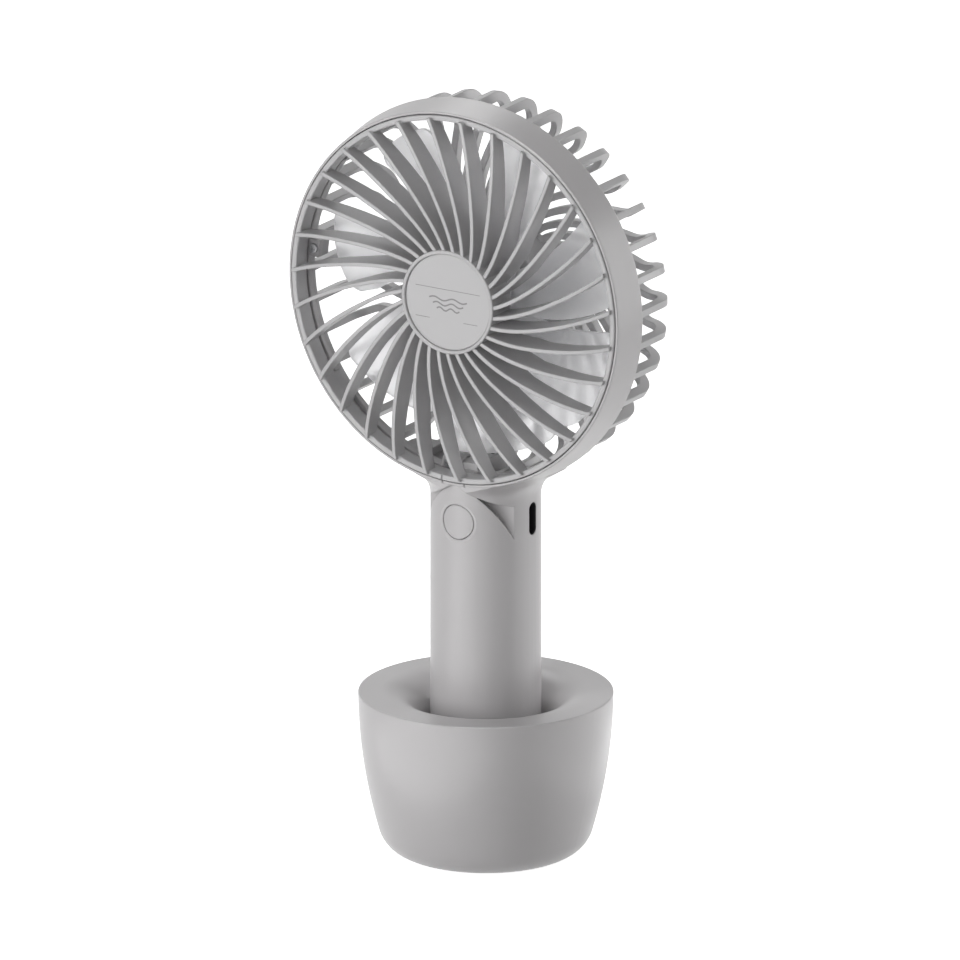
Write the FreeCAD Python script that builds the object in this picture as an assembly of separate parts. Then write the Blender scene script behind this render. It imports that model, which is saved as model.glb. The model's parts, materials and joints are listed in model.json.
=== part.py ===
import FreeCAD, Part
import math
import os

# A rechargeable hand fan that stands in its round charging dock.
# Millimetres, +Z up. The origin is the centre of the dock's foot, on the surface it stands on.
# The fan blows towards -Y, and +X is on the right for somebody who faces its front.
# Angles on the fan head are seen from the front, from +X towards +Z.

os.makedirs("parts", exist_ok=True)

V = FreeCAD.Vector

# ---------------------------------------------------------------- clearances
running_gap = 0.05       # shaft in its bearing, per side
slide_gap = 0.20         # handle in the dock's socket, per side
cover_gap = 0.10         # a cover or plate in its recess, per side
button_gap = 0.15        # button in its hole, per side
touch_gap = 0.05         # between two bodies that rest on or push each other
twist_gap = 0.15         # bayonet hooks in their track
air_gap = 0.40           # magnet to stator

# ---------------------------------------------------------------- how shapes are joined and cut
weld = 0.4               # overlap of pieces that are fused
past = 1.0               # cutters run this far past a face
pilot_depth = 0.5        # pilot hole beyond the screw's tip
recess_share = 0.62      # cross recess in a screw's head, of its radius and its height
recess_slimness = 0.28
same = 1e-6              # two places this close are one
ring_points = 24         # points that a curve around the button passes through
blade_points = 9         # points along a grille blade
cage_points = 8          # points along a cage rib before its corner
cage_bend_points = 4
impeller_sections = 5    # sections through an impeller blade

# ---------------------------------------------------------------- dock
dock_height = 45.3
dock_rim_radius = 34.45
dock_mid_radius = 33.35
dock_mid_height = 28.7
dock_corner_radius = 9.2
dock_floor_radius = 20.05
dock_side_lean = 12.8    # degrees from upright, where the side meets the bottom corner
dock_wall = 2.2
rim_edge = 0.30
lip_radius = 28.0        # where the flat lip turns down into the funnel
funnel_radius = 10.8
throat_depth = 3.2       # straight throat under the funnel
socket_wall = 1.6
seat_height = 13.0       # floor of the socket, on which the handle stands
seat_thickness = 1.6
foot_height = 0.3
foot_recess = 0.8
foot_outer_radius = 17.8
foot_inner_radius = 13.8
base_radius = 19.1
ballast_height = 4.5
ballast_bore = 4.0
dock_board_radius = 17.9
dock_board_thickness = 1.2
dock_post_circle = 15.2
dock_post_radius = 2.3
dock_post_angles = (30, 150, 270)
dock_screw_radius = 0.9
dock_screw_head_radius = 1.9
dock_screw_head = 1.1
dock_screw_length = 7.2
dock_screw_floor = 0.7   # base left above the screw's head
dock_usb_gap = 0.15      # from the inside of the dock's side in to the socket's mouth
dock_board_inset = 1.4   # from the socket's mouth to the board's edge
dock_chip = (-9.5, -5.5, -2.0, 2.0, 1.0)   # x from, x to, y from, y to, height

# ---------------------------------------------------------------- charging pins and contacts
pin_radius = 0.70
pin_flange_radius = 1.05
pin_flange = 0.8
pin_travel = 0.5
pin_spacing = 6.5        # ring pin from the centre pin
pin_block_margin = 2.4   # block around the pins' axes
pin_block_top_gap = 0.3  # block below the seat
pin_reach = 0.90         # tips above the seat
pin_spring_wire = 0.20
pin_spring_seat = 0.4
pin_spring_solid = 1.0   # height of a pin's spring when it is pressed flat
pin_chamber_gap = 0.08
pin_spring_turns = 4
contact_radius = 2.2
contact_ring_width = 2.6
contact_thickness = 0.8
contact_recess_radius = 8.4

# ---------------------------------------------------------------- USB-C sockets
usb_length = 8.94
usb_thickness = 3.20
usb_depth = 7.3
usb_wall = 0.30
usb_tongue_length = 6.6
usb_tongue_thickness = 0.7
usb_tongue_depth = 5.6
usb_slot_length = 9.2
usb_slot_width = 3.5
usb_height = 96.2        # handle's slot above the table
usb_mouth_gap = 0.3      # socket's mouth inside the handle's bore

# ---------------------------------------------------------------- handle
handle_radius = 15.0
handle_wall = 2.0
cap_thickness = 3.4
cap_screw_circle = 10.7
cap_screw_angles = (45, 225)
cap_screw_radius = 0.8
cap_screw_head_radius = 1.6
cap_screw_head = 1.2
cap_screw_length = 8.0
cap_screw_sink = 0.3     # heads above the handle's lower end
frame_plate = 1.2
frame_wall = 1.0
frame_fin = 1.6
frame_fin_angles = (45, 135, 225, 315)
frame_boss_radius = 1.9
frame_boss_height = 7.0
battery_radius = 9.2
battery_length = 65.0
battery_edge = 0.6
battery_gap = 0.2
battery_mouth_drop = 2.5  # opening of the battery's cradle, in front of its axis
terminal_thickness = 0.4
terminal_radius = 6.0
board_width = 21.0
board_height = 17.6
board_thickness = 1.0
board_post_width = 2.4
board_post_depth = 3.4
board_post_grip = 1.0    # posts reach this far in from the board's edges
front_chips = ((-8.5, -4.5, 2.0, 6.0, 0.9), (3.5, 7.0, 1.6, 5.1, 1.6))  # x from, x to, z from, z to, height
rear_chips = ((-7.5, -3.0, 3.0, 6.5, 1.0),)
long_post_height = 15.0
short_post_height = 4.6
lead_radius = 0.55
lead_bend = 2.2
lead_half_spacing = 1.1
lead_room = 0.5
lead_rise = 9.0          # charge leads end on the board this far above the deck
contact_tail_radius = 0.5
motor_cable_radius = 0.9
motor_cable_bend = 1.4
motor_cable_start = 9.0  # from the fan axis, where the cable leaves the motor's board
motor_cable_drop = 5.5   # its end on the main board, under the top of the bore

# ---------------------------------------------------------------- power button
button_height = 96.5
button_radius = 4.75
button_dish_radius = 5.65
button_dish_depth = 0.40
button_sink = 0.45        # face of the button behind the tube's surface
button_flange_radius = 5.7
button_flange = 0.8
button_flange_back = 10.4  # flange's rear face, in front of the handle's axis
button_stem_radius = 1.4
button_travel = 0.5
switch_size = 6.0
switch_height = 3.4
plunger_radius = 1.6
plunger_reach = 1.5
plunger_depth = 2.0

# ---------------------------------------------------------------- head
band_radius = 54.0        # widest part of the head, at the band's rear edge
band_taper = 1.64         # the band's front edge is this much smaller
band_front = -16.35
band_rear = -6.0
band_edge = 0.25
bezel_width = 0.66        # visible ring around the grille's rim
ledge_width = 1.7
ledge_front = -10.2
ledge_rear = -8.5
seat_wall = 1.15          # band around the cage's seat
cage_clearance = 0.6      # neck's top under the cage
ear_reach = 3.0           # lugs inward from the ledge
ear_half_width = 2.4
ear_first_angle = -6
ear_count = 4
cage_screw_inset = 1.4    # screws inward from the ledge
cage_screw_radius = 0.75
cage_screw_head_radius = 1.35
cage_screw_head = 0.9
cage_screw_length = 3.4

# ---------------------------------------------------------------- neck
bore_top = 104.4          # end of the handle's bore, above the table
roof_thickness = 2.0
neck_bottom = 86.0
flare_start = 3.2         # the tube starts to flare this far under the end of its bore
flare_radius = 7.5
flare_back_reach = 24.0   # the flare behind the band ends on an ellipse around the handle's axis
flare_back_depth = 15.3
hood_depth = -6.8         # in front of this the flare ends on a hood
hood_crown = 6.8          # the hood's front view: height from the start of the flare, then (x, height)
hood_middle = (8.26, 2.0)
hood_end = (14.0, -0.4)
shoulder_turn = 38.0      # degrees; the shoulder pockets beside the tube's arched front are cut at this turn
shoulder_crown = (-9.23, 6.6)   # edge of the arch: across the cut's direction, and height
shoulder_middle = (0.58, -1.5)
shoulder_foot = (7.35, -11.7)
floor_turn = 20.0         # degrees; floors of the pockets
floor_depth = 10.97       # from the handle's axis
pocket_wall = 1.5
lead_hole_radius = 1.3

# ---------------------------------------------------------------- front grille
grille_count = 31
rim_front = -16.7
rim_rear = -11.5
rim_gap = 0.25            # rim in its bore, per side
rim_width = 1.8           # from the bore to the rim's inside
rim_chamfer = 0.35
hub_radius = 14.5
hub_front = -19.7
hub_lip = 1.0
hub_recess = 0.9
hub_plate = 1.6
hub_edge = 0.28
blade_half_thickness = 0.52
blade_first_angle = 3.556
blade_root_radius = 15.36
blade_tip_sink = 0.23     # nominal tip inside the rim
blade_twist = (44.39, -31.17, 11.64)   # degrees along the blade: linear, square, cube
blade_front = (-19.36, -2.227, 3.714)  # front edge: start, linear, square
blade_end_sink = 0.85     # blades run this far into the rim
blade_rear_rim = -13.7
blade_rear_knee = -12.2
blade_rear_hub = -10.4
blade_knee_radius = 30.0
blade_deep_radius = 25.0
badge_thickness = 0.3
badge_edge = 0.15
mark_width = 0.45
mark_depth = 0.35
mark_overrun = 0.3
lock_mark_angle = -93.9
unlock_mark_angle = -86.2
hook_count = 4
hook_first_angle = 39.0
hook_half_angle = 4.5
hook_leg = 0.6
hook_foot = 0.6
hook_reach = 1.45
hook_sink = 0.1           # legs inside the rim's inner edge
track_overrun = 0.01

# ---------------------------------------------------------------- rear cage
cage_count = 36
cage_first_angle = 1.5
cage_seat_gap = 0.15      # ribs inside the seat's radius
cage_rear = 14.0
cage_bend = 8.0
cage_rib_depth = 2.8
cage_rib_half_width = 0.95
cage_twist = 38.0         # degrees from the corner to the motor cup
cage_twist_power = 1.35   # above 1, the ribs turn most near the cup
cage_rim_front = -8.4
cage_rim_rear = -6.6
cage_rim_width = 2.65
cage_ear_rear = -5.2
cage_ear_floor = 0.6      # lug left behind its pilot hole
cup_radius = 15.0
cup_wall = 1.5
cup_front = 1.8
cup_plate = 1.6
cup_front_edge = 0.8
cup_rear_edge = 0.4
cap_stop_width = 0.8      # ring in the cup on which the rear cap rests
cap_stop_thickness = 1.2
hub_cap_thickness = 1.4
conduit_half_width = 2.6
conduit_depth = 4.6
conduit_groove = 2.2
conduit_turn = 3.0        # where the leads turn down into the neck

# ---------------------------------------------------------------- motor and impeller
shaft_radius = 1.0
shaft_front = -8.4
shaft_rear = 5.9
clip_radius = 2.1
clip_inner_radius = 0.8
clip_thickness = 0.4
clip_mouth = 1.2
clip_inset = 0.9          # clip from the shaft's rear end
bearing_radius = 2.4
bearing_length = 3.0
tube_radius = 3.2
tube_front = -6.2
tube_rear = 4.7
flange_radius = 7.5
flange_thickness = 1.1
motor_screw_circle = 5.6
motor_screw_radius = 0.7
motor_screw_head_radius = 1.25
motor_screw_head = 0.8
motor_screw_length = 2.5
motor_screw_count = 3
motor_board_radius = 10.4
motor_board_thickness = 0.8
core_front = -5.2
core_rear = -2.0
core_radius = 9.0
core_yoke_radius = 4.7
core_shoe = 0.9
tooth_count = 9
tooth_width = 1.4
shoe_half_angle = 14.5
coil_thickness = 0.7
coil_rounding = 0.55
coil_shoe_gap = 0.35
coil_inner_radius = 5.0
magnet_thickness = 1.4
magnet_front = -6.2
magnet_rear = -1.0
yoke_wall = 0.8
yoke_edge = 0.3
yoke_front = -7.8
yoke_rear = -0.7
impeller_hub_radius = 13.0
impeller_hub_front = -9.0
impeller_hub_edge = 1.0
impeller_hub_rear = -0.6
impeller_tip_gap = 1.0    # tips inside the cage's lugs
impeller_count = 7
impeller_first_angle = 113.0
impeller_blade = 1.1
impeller_span = 39.0      # degrees that one blade covers, seen from the front
impeller_sweep = 14.0     # degrees that the tip runs ahead of the root
impeller_bulge = 3.0      # degrees that both sides of a blade bow backward
impeller_tip_rounding = 4.5
impeller_front_edge = -8.5
impeller_root_rear = 1.0
impeller_tip_rear = 4.2
impeller_camber = 1.6
impeller_stretch = 1.35   # plate's size against the blade cut from it
impeller_thin_edge = 0.6
impeller_plate_overrun = 4.0

# ---------------------------------------------------------------- values worked out from those
throat_radius = lip_radius - funnel_radius
funnel_bottom = dock_height - funnel_radius
socket_radius = handle_radius + slide_gap
socket_outer_radius = throat_radius + socket_wall
base_top = foot_height + dock_wall
dock_screw_seat = base_top - dock_screw_floor
dock_board_bottom = base_top + ballast_height
dock_board_top = dock_board_bottom + dock_board_thickness
dock_usb_height = dock_board_top + usb_thickness / 2
pin_block_top = seat_height - pin_block_top_gap
pin_spring_bottom = dock_board_top + pin_spring_seat
pin_spring_height = pin_spring_solid + pin_travel
pin_flange_bottom = pin_spring_bottom + pin_spring_height
handle_bottom = seat_height + touch_gap
contact_height = seat_height + pin_reach + touch_gap
cap_top = handle_bottom + cap_thickness
cap_screw_seat = handle_bottom + cap_screw_sink + cap_screw_head
handle_bore = handle_radius - handle_wall
frame_radius = handle_bore - cover_gap
frame_floor = cap_top + frame_plate
battery_bottom = frame_floor + terminal_thickness
battery_top = battery_bottom + battery_length
frame_top = battery_top + terminal_thickness
frame_deck = frame_top + frame_plate
cradle_bore = battery_radius + battery_gap
cradle_radius = cradle_bore + frame_wall
board_rear = -usb_thickness / 2
board_front = board_rear - board_thickness
switch_front = board_front - switch_height
plunger_tip = switch_front - plunger_reach
button_face = -(handle_radius - button_sink)
bezel_radius = band_radius - band_taper
pocket_radius = bezel_radius - bezel_width
ledge_radius = pocket_radius - ledge_width
ear_inner_radius = ledge_radius - ear_reach
cage_screw_circle = ledge_radius - cage_screw_inset
cage_seat_radius = band_radius - seat_wall
cage_radius = cage_seat_radius - cage_seat_gap
cage_clear_radius = cage_radius + cage_clearance
cage_rim_inner = cage_seat_radius - cage_rim_width
head_height = bore_top + roof_thickness + cage_clear_radius
flare_height = bore_top - flare_start
rim_radius = pocket_radius - rim_gap
rim_inner_radius = pocket_radius - rim_width
blade_tip_radius = rim_inner_radius + blade_tip_sink
blade_end_radius = rim_inner_radius + blade_end_sink
impeller_radius = ear_inner_radius - impeller_tip_gap
hub_inner_radius = hub_radius - hub_lip
hub_floor = hub_front + hub_recess
unlock_turn = unlock_mark_angle - lock_mark_angle
cup_bore = cup_radius - cup_wall
conduit_axis = cage_rear - conduit_depth + conduit_groove / 2
conduit_leg_radius = cage_radius - conduit_depth + conduit_groove / 2
bearing_bore = shaft_radius + running_gap
tube_bore = bearing_radius
flange_front = cup_front - flange_thickness
motor_board_front = flange_front - motor_board_thickness
magnet_bore = core_radius + air_gap
magnet_radius = magnet_bore + magnet_thickness
yoke_radius = magnet_radius + yoke_wall

UP = V(0, 0, 1)
BACK = V(0, 1, 0)
FRONT = V(0, -1, 0)
HEAD = V(0, 0, head_height)


# ---------------------------------------------------------------- shape helpers
def save(name, *solids):
    """Write the node's solids to its own STEP file."""
    shape = solids[0] if len(solids) == 1 else Part.makeCompound(list(solids))
    shape.exportStep("parts/%s.step" % name)


def box(x0, x1, y0, y1, z0, z1):
    return Part.makeBox(x1 - x0, y1 - y0, z1 - z0, V(x0, y0, z0))


def rod_z(radius, z0, z1, x=0.0, y=0.0):
    return Part.makeCylinder(radius, z1 - z0, V(x, y, z0), UP)


def tube_z(outer, inner, z0, z1, x=0.0, y=0.0):
    return rod_z(outer, z0, z1, x, y).cut(rod_z(inner, z0 - past, z1 + past, x, y))


def rod_y(radius, y0, y1, x=0.0, z=head_height):
    return Part.makeCylinder(radius, y1 - y0, V(x, y0, z), BACK)


def tube_y(outer, inner, y0, y1, x=0.0, z=head_height):
    return rod_y(outer, y0, y1, x, z).cut(rod_y(inner, y0 - past, y1 + past, x, z))


def line(a, b):
    return Part.LineSegment(a, b).toShape()


def arc(a, middle, b):
    return Part.Arc(a, middle, b).toShape()


def rounded_edges(corners, place):
    """Edges of a closed outline. A corner is (a, b) or (a, b, radius)."""
    count = len(corners)
    entries = []
    for index, corner in enumerate(corners):
        here = V(corner[0], corner[1], 0)
        radius = corner[2] if len(corner) > 2 else 0
        before = corners[index - 1]
        after = corners[(index + 1) % count]
        to_before = V(before[0], before[1], 0).sub(here).normalize()
        to_after = V(after[0], after[1], 0).sub(here).normalize()
        if radius == 0:
            entries.append((here, here, here))
            continue
        half = to_before.getAngle(to_after) / 2
        reach = radius / math.tan(half)
        inward = to_before.add(to_after).normalize()
        middle = here.add(inward * (radius / math.sin(half) - radius))
        entries.append((here.add(to_before * reach), middle, here.add(to_after * reach)))
    edges = []
    for index, (start, middle, end) in enumerate(entries):
        following = entries[(index + 1) % count][0]
        if not start.isEqual(end, same):
            edges.append(arc(place(start.x, start.y), place(middle.x, middle.y), place(end.x, end.y)))
        if not end.isEqual(following, same):
            edges.append(line(place(end.x, end.y), place(following.x, following.y)))
    return edges


def on_head(radius, y):
    """Point of a section through the fan axis."""
    return V(radius, y, head_height)


def on_dock(radius, z):
    """Point of a section through the dock's axis."""
    return V(radius, 0, z)


def face_of(edges):
    return Part.Face(Part.Wire(edges))


def turned_head(corners):
    """Solid of revolution about the fan axis; corners are (radius, y)."""
    return face_of(rounded_edges(corners, on_head)).revolve(HEAD, BACK, 360)


def turn(shape, degrees):
    """Copy turned about the fan axis, anticlockwise seen from the front."""
    copy = shape.copy()
    copy.rotate(HEAD, FRONT, degrees)
    return copy


def turns(shape, count):
    return [turn(shape, 360.0 * index / count) for index in range(count)]


def head_sector(inner, outer, y0, y1, middle, half_angle):
    """Piece of a ring about the fan axis."""
    corners = [(inner, y0), (outer, y0), (outer, y1), (inner, y1)]
    start = face_of(rounded_edges(corners, on_head))
    return turn(start.revolve(HEAD, FRONT, 2 * half_angle), middle - half_angle)


def polar(radius, degrees):
    """Point of the fan's front view, from the fan axis."""
    angle = math.radians(degrees)
    return radius * math.cos(angle), radius * math.sin(angle)


def spread(start, end, count):
    return [start + (end - start) * index / (count - 1) for index in range(count)]


def strip(centre, radii, half_width, y0, y1):
    """Upright strip that follows centre(radius) in the fan's front view."""
    step = 0.01
    sides = ([], [])
    for radius in radii:
        x, z = centre(radius)
        ahead_x, ahead_z = centre(radius + step)
        length = math.hypot(ahead_x - x, ahead_z - z)
        across_x = -(ahead_z - z) / length * half_width
        across_z = (ahead_x - x) / length * half_width
        sides[0].append(V(x + across_x, y0, head_height + z + across_z))
        sides[1].append(V(x - across_x, y0, head_height + z - across_z))
    curves = []
    for side in sides:
        curve = Part.BSplineCurve()
        curve.interpolate(side)
        curves.append(curve.toShape())
    ends = [line(sides[0][index], sides[1][index]) for index in (0, -1)]
    outline = Part.Wire([curves[0], ends[1], curves[1], ends[0]])
    return Part.Face(outline).extrude(V(0, y1 - y0, 0))


def stadium_x(length, width, x0, x1, y, z):
    """Slot-shaped bar along X, with its long side upright."""
    half = (length - width) / 2
    ends = [Part.makeCylinder(width / 2, x1 - x0, V(x0, y, z + side), V(1, 0, 0)) for side in (-half, half)]
    middle = box(x0, x1, y - width / 2, y + width / 2, z - half, z + half)
    return middle.multiFuse(ends).removeSplitter()


def stadium_y(length, width, y0, y1, x, z):
    """Slot-shaped bar along Y, with its long side level."""
    half = (length - width) / 2
    ends = [Part.makeCylinder(width / 2, y1 - y0, V(x + side, y0, z), BACK) for side in (-half, half)]
    middle = box(x - half, x + half, y0, y1, z - width / 2, z + width / 2)
    return middle.multiFuse(ends).removeSplitter()


def screw(head_radius, head, shank_radius, length, seat, direction):
    """Cross-head screw. The head ends at the seat, and the shank runs on from there."""
    body = rod_z(head_radius, -head, 0).fuse(rod_z(shank_radius, 0, length)).removeSplitter()
    arm = head_radius * recess_share
    side = arm * recess_slimness
    floor = -head * recess_share
    mouth = -head - past
    body = body.cut([box(-arm, arm, -side, side, mouth, floor), box(-side, side, -arm, arm, mouth, floor)])
    body.Placement = FreeCAD.Placement(seat, FreeCAD.Rotation(UP, direction))
    return body


def lead(points, radius, bend):
    """Round wire through the points, with its corners bent at one radius."""
    edges = []
    start = points[0]
    for index in range(1, len(points) - 1):
        corner = points[index]
        to_before = points[index - 1].sub(corner).normalize()
        to_after = points[index + 1].sub(corner).normalize()
        half = to_before.getAngle(to_after) / 2
        reach = bend / math.tan(half)
        first = corner.add(to_before * reach)
        last = corner.add(to_after * reach)
        inward = to_before.add(to_after).normalize()
        middle = corner.add(inward * (bend / math.sin(half) - bend))
        edges.append(line(start, first))
        edges.append(arc(first, middle, last))
        start = last
    edges.append(line(start, points[-1]))
    path = Part.Wire(edges)
    section = Part.Wire(Part.makeCircle(radius, points[0], points[1].sub(points[0])))
    return path.makePipeShell([section], True, True)


# ---------------------------------------------------------------- dock
def bottom_corner(radius):
    """Middle and upper end of the corner between the dock's floor and its side."""
    lean = math.radians(dock_side_lean)
    centre_z = foot_height + dock_corner_radius
    places = []
    for angle in ((math.radians(90) + lean) / 2, lean):
        across = dock_floor_radius + radius * math.cos(angle)
        places.append(on_dock(across, centre_z - radius * math.sin(angle)))
    return places


def inner_side():
    """Three points of the arc on the inside of the dock's side, from the corner up."""
    return [
        bottom_corner(dock_corner_radius - dock_wall)[1],
        on_dock(dock_mid_radius - dock_wall, dock_mid_height),
        on_dock(dock_rim_radius - dock_wall, dock_height - dock_wall),
    ]


def dock_usb_mouth():
    """Distance of the socket's mouth from the dock's axis, close inside the side."""
    side = arc(*inner_side()).Curve
    rise = dock_usb_height - usb_thickness / 2 - side.Center.z
    across = math.sqrt(side.Radius ** 2 - rise ** 2)
    inside = side.Center.x + math.copysign(across, dock_mid_radius - side.Center.x)
    flat = (usb_length - usb_thickness) / 2
    return math.sqrt(inside ** 2 - flat ** 2) - dock_usb_gap


def dock_outer_edges():
    """Outside of the dock, from the middle of its underside up and down into the socket."""
    corner, side = bottom_corner(dock_corner_radius)
    edge_middle = rim_edge * (1 - math.sqrt(0.5))
    funnel_middle = funnel_radius * math.sqrt(0.5)
    throat_bottom = funnel_bottom - throat_depth
    point = on_dock
    return [
        line(point(0, foot_height), point(dock_floor_radius, foot_height)),
        arc(point(dock_floor_radius, foot_height), corner, side),
        arc(
            side,
            point(dock_mid_radius, dock_mid_height),
            point(dock_rim_radius, dock_height - rim_edge),
        ),
        arc(
            point(dock_rim_radius, dock_height - rim_edge),
            point(dock_rim_radius - edge_middle, dock_height - edge_middle),
            point(dock_rim_radius - rim_edge, dock_height),
        ),
        line(point(dock_rim_radius - rim_edge, dock_height), point(lip_radius, dock_height)),
        arc(
            point(lip_radius, dock_height),
            point(lip_radius - funnel_middle, funnel_bottom + funnel_middle),
            point(throat_radius, funnel_bottom),
        ),
        line(point(throat_radius, funnel_bottom), point(throat_radius, throat_bottom)),
        line(point(throat_radius, throat_bottom), point(socket_radius, throat_bottom)),
        line(point(socket_radius, throat_bottom), point(socket_radius, seat_height)),
        line(point(socket_radius, seat_height), point(0, seat_height)),
        line(point(0, seat_height), point(0, foot_height)),
    ]


def dock_hollow():
    """Space inside the dock's skin, around and under the socket."""
    corner = bottom_corner(dock_corner_radius - dock_wall)[0]
    side, side_middle, side_top = inner_side()
    lip_arc = lip_radius - socket_outer_radius
    lip_middle = lip_arc * math.sqrt(0.5)
    lip_top = funnel_bottom + lip_arc
    seat_bottom = seat_height - seat_thickness
    point = on_dock
    edges = [
        line(point(0, base_top), point(dock_floor_radius, base_top)),
        arc(point(dock_floor_radius, base_top), corner, side),
        arc(side, side_middle, side_top),
        line(side_top, point(lip_radius, lip_top)),
        arc(
            point(lip_radius, lip_top),
            point(lip_radius - lip_middle, funnel_bottom + lip_middle),
            point(socket_outer_radius, funnel_bottom),
        ),
        line(point(socket_outer_radius, funnel_bottom), point(socket_outer_radius, seat_bottom)),
        line(point(socket_outer_radius, seat_bottom), point(0, seat_bottom)),
        line(point(0, seat_bottom), point(0, base_top)),
    ]
    return face_of(edges).revolve(V(0, 0, 0), UP, 360)


def post_places(circle, angles):
    return [(circle * math.cos(math.radians(a)), circle * math.sin(math.radians(a))) for a in angles]


def pin_block_box(margin, z0, z1):
    return box(-margin, pin_spacing + margin, -margin, margin, z0, z1)


def make_dock():
    seat_bottom = seat_height - seat_thickness
    usb_mouth = dock_usb_mouth()
    posts = post_places(dock_post_circle, dock_post_angles)
    shell = face_of(dock_outer_edges()).revolve(V(0, 0, 0), UP, 360)
    shell = shell.cut(dock_hollow())
    shell = shell.cut(rod_z(base_radius + cover_gap, foot_height - past, base_top + touch_gap))
    shell = shell.fuse([rod_z(dock_post_radius, base_top, seat_bottom + weld, x, y) for x, y in posts])
    pilot_end = dock_screw_seat + dock_screw_length + pilot_depth
    pilots = [rod_z(dock_screw_radius, base_top - past, pilot_end, x, y) for x, y in posts]
    shell = shell.cut(pilots)
    shell = shell.cut(stadium_y(usb_slot_length, usb_slot_width, usb_mouth - past, dock_rim_radius,
                                0, dock_usb_height))
    shell = shell.cut(pin_block_box(pin_block_margin + cover_gap, seat_bottom - past, seat_height + past))
    save("dock_shell", shell)

    base = rod_z(base_radius, foot_height, base_top)
    base = base.cut(tube_z(foot_outer_radius + cover_gap, foot_inner_radius - cover_gap,
                           foot_height - past, foot_height + foot_recess))
    for x, y in posts:
        base = base.cut(rod_z(dock_screw_radius + cover_gap, foot_height - past, base_top + past, x, y))
        base = base.cut(rod_z(dock_screw_head_radius + cover_gap, foot_height - past, dock_screw_seat, x, y))
    save("dock_base", base)

    foot = tube_z(foot_outer_radius, foot_inner_radius, 0, foot_height + foot_recess)
    screw_holes = [rod_z(dock_screw_head_radius + slide_gap, -past, foot_height + foot_recess + past, x, y)
                   for x, y in posts]
    foot = foot.cut(screw_holes)
    save("foot_pad", foot)

    post_holes = [rod_z(dock_post_radius + slide_gap, 0, seat_height, x, y) for x, y in posts]
    ballast = tube_z(base_radius - slide_gap, ballast_bore, base_top, dock_board_bottom).cut(post_holes)
    save("ballast_weight", ballast)

    board = rod_z(dock_board_radius, dock_board_bottom, dock_board_top)
    reach = usb_mouth - dock_board_inset
    tongue = box(-usb_length / 2, usb_length / 2, 0, reach, dock_board_bottom, dock_board_top)
    x0, x1, y0, y1, height = dock_chip
    chip = box(x0, x1, y0, y1, dock_board_top, dock_board_top + height)
    board = board.fuse([tongue, chip]).cut(post_holes).removeSplitter()
    save("dock_board", board)

    back = usb_mouth - usb_depth
    floor = back + usb_wall
    outer = stadium_y(usb_length, usb_thickness, back, usb_mouth, 0, dock_usb_height)
    inner = stadium_y(usb_length - 2 * usb_wall, usb_thickness - 2 * usb_wall, floor, usb_mouth + past,
                      0, dock_usb_height)
    save("dock_usb_socket", outer.cut(inner))
    half_length = usb_tongue_length / 2
    half_thickness = usb_tongue_thickness / 2
    save("dock_usb_tongue", box(-half_length, half_length, floor, floor + usb_tongue_depth,
                                dock_usb_height - half_thickness, dock_usb_height + half_thickness))

    save("dock_screws", *[screw(dock_screw_head_radius, dock_screw_head, dock_screw_radius, dock_screw_length,
                                V(x, y, dock_screw_seat), UP) for x, y in posts])


def make_pins():
    tip = seat_height + pin_reach
    flange_top = pin_flange_bottom + pin_flange
    block = pin_block_box(pin_block_margin, dock_board_top, pin_block_top)
    chamber = pin_flange_radius + pin_chamber_gap
    for x in (0, pin_spacing):
        block = block.cut(rod_z(pin_radius + running_gap, pin_flange_bottom, pin_block_top + past, x))
        block = block.cut(rod_z(chamber, pin_spring_bottom, flange_top + touch_gap, x))
    save("pin_block", block)
    for name, x in (("centre_pin", 0), ("ring_pin", pin_spacing)):
        shank = rod_z(pin_radius, pin_flange_bottom, tip - pin_radius, x)
        nose = Part.makeSphere(pin_radius, V(x, 0, tip - pin_radius))
        flange = rod_z(pin_flange_radius, pin_flange_bottom, flange_top, x)
        save(name, shank.fuse([nose, flange]).removeSplitter())
        save(name + "_spring", pin_spring(x))


def pin_spring(x):
    """Coil spring of round wire, swept with one face for each turn."""
    coil_radius = pin_flange_radius - pin_spring_wire / 2
    bottom = pin_spring_bottom + pin_spring_wire / 2
    pitch = (pin_spring_height - pin_spring_wire) / pin_spring_turns
    path = []
    for turn in range(pin_spring_turns):
        helix = Part.makeHelix(pitch, pitch, coil_radius)
        helix.translate(V(x, 0, bottom + turn * pitch))
        path += helix.Edges
    section = Part.Wire(Part.makeCircle(pin_spring_wire / 2, V(x + coil_radius, 0, bottom), BACK))
    return Part.Wire(path).makePipeShell([section], True, True)


# ---------------------------------------------------------------- handle, neck and head band
def flare_edges():
    """Half section of the tube's top: up the tube, out along the flare and on to the band's circle."""
    centre_r = handle_radius + flare_radius
    rise = head_height - flare_height
    tilt = math.atan2(rise, centre_r) - math.acos((flare_radius + band_radius) / math.hypot(centre_r, rise))

    def on_flare(angle):
        return V(centre_r - flare_radius * math.cos(angle), 0, flare_height + flare_radius * math.sin(angle))

    leave = on_flare(tilt)
    touch = V(band_radius * math.cos(tilt), 0, head_height - band_radius * math.sin(tilt))
    top = V(0, 0, touch.z)
    bottom = V(0, 0, neck_bottom)
    outside = V(handle_radius, 0, neck_bottom)
    beside = on_flare(0)
    return [
        line(bottom, outside),
        line(outside, beside),
        arc(beside, on_flare(tilt / 2), leave),
        line(leave, touch),
        line(touch, top),
        line(top, bottom),
    ]


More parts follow.
